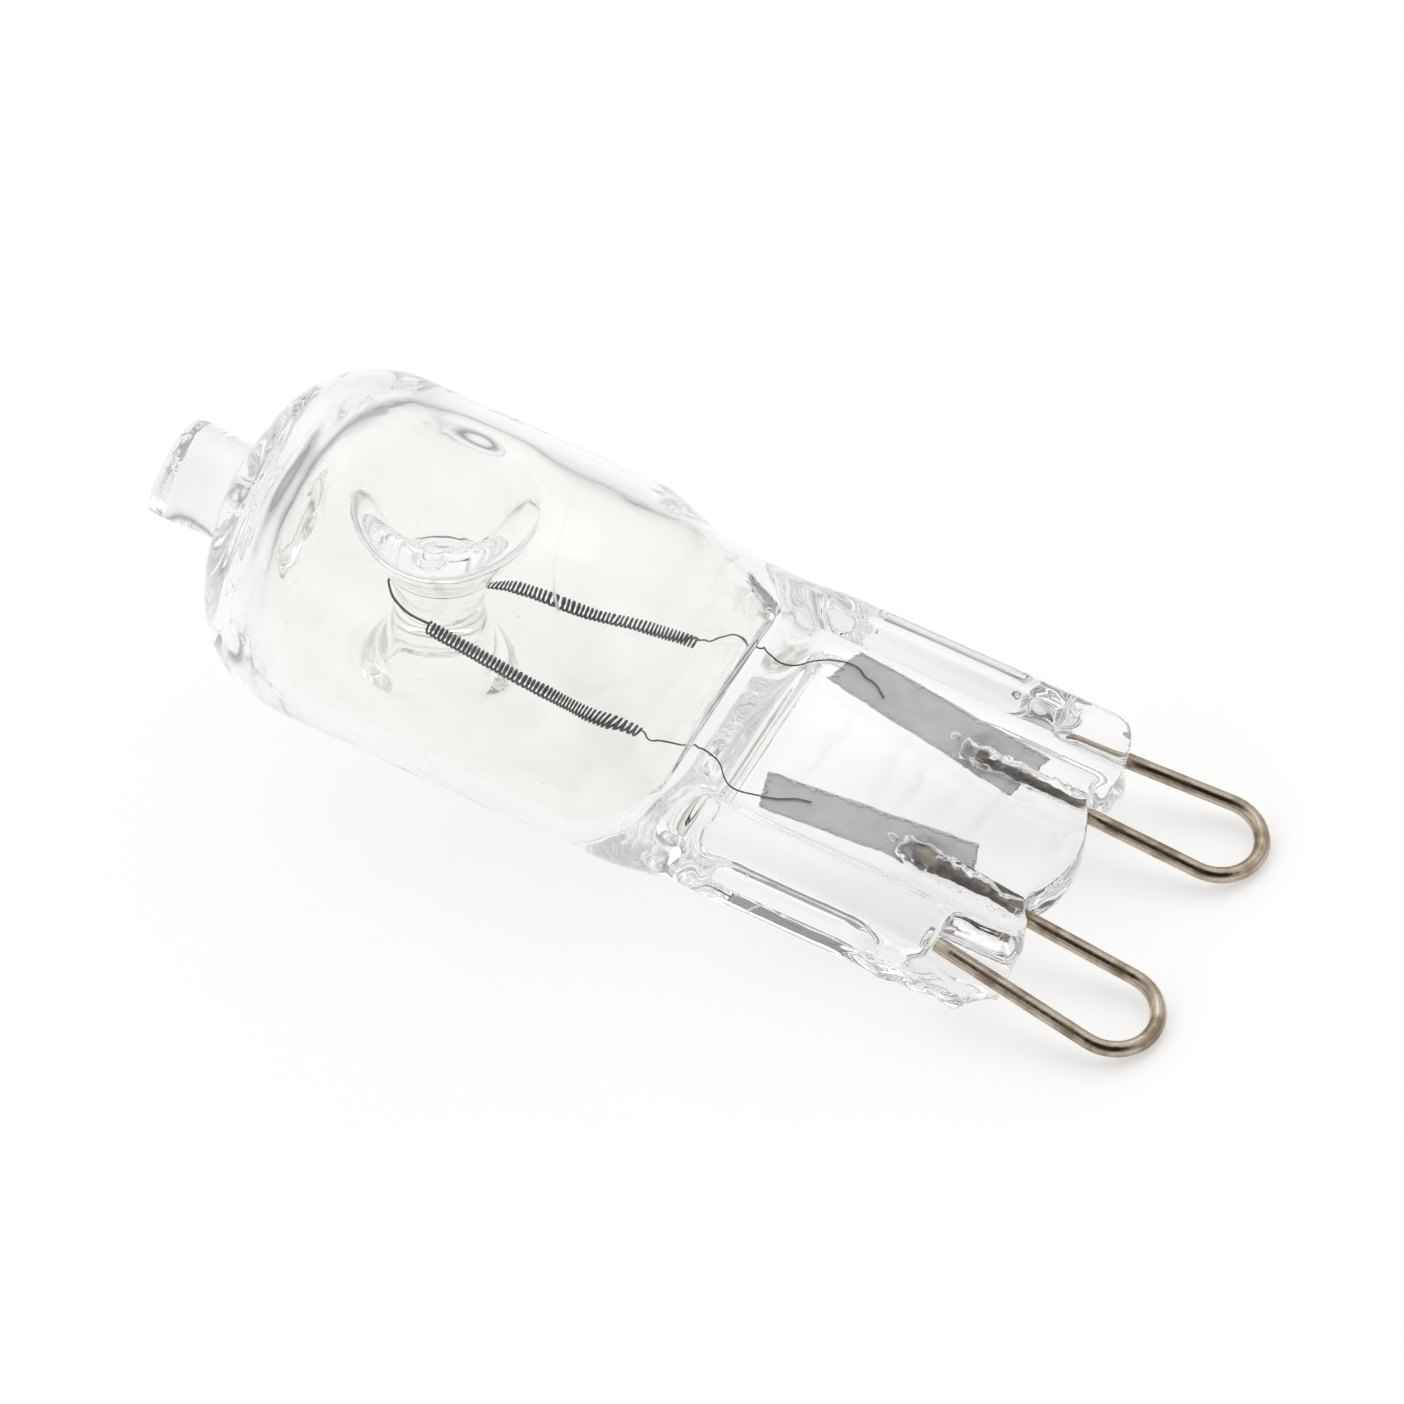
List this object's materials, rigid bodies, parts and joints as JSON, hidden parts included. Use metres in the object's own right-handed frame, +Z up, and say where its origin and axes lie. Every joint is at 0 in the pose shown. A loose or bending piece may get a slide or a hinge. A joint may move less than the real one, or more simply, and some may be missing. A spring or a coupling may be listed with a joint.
{
  "type": "halogen capsule bulb",
  "caption": "Clear quartz halogen capsule bulb: dimpled glass envelope, coiled filament between sealed foils, and two wire pin loops at the pinched end.",
  "frame": {"origin": "on the ground plane, under the middle of the lying lamp's bounding box", "axes": "+X from the sealed tip to the pin loops, along the ground; +Y across the pinch's broad face; +Z up. The lamp's own axis lies in the XZ plane and dips towards the pin loops by the resting tilt."},
  "size_m": [0.0442, 0.014, 0.0161],
  "materials": {
    "quartz_glass": "clear fused quartz, fire-polished, smooth",
    "tungsten": "dark grey tungsten wire, satin",
    "molybdenum_foil": "rolled molybdenum foil, matt grey, seen through the glass",
    "pin_wire": "oxidised nickel-plated wire, brown-grey, half bright"
  },
  "bodies": {
    "root": {"glass_envelope": "quartz_glass", "filament": "tungsten", "left_foil": "molybdenum_foil", "right_foil": "molybdenum_foil", "left_pin_loop": "pin_wire", "right_pin_loop": "pin_wire"}
  },
  "joints": []
}
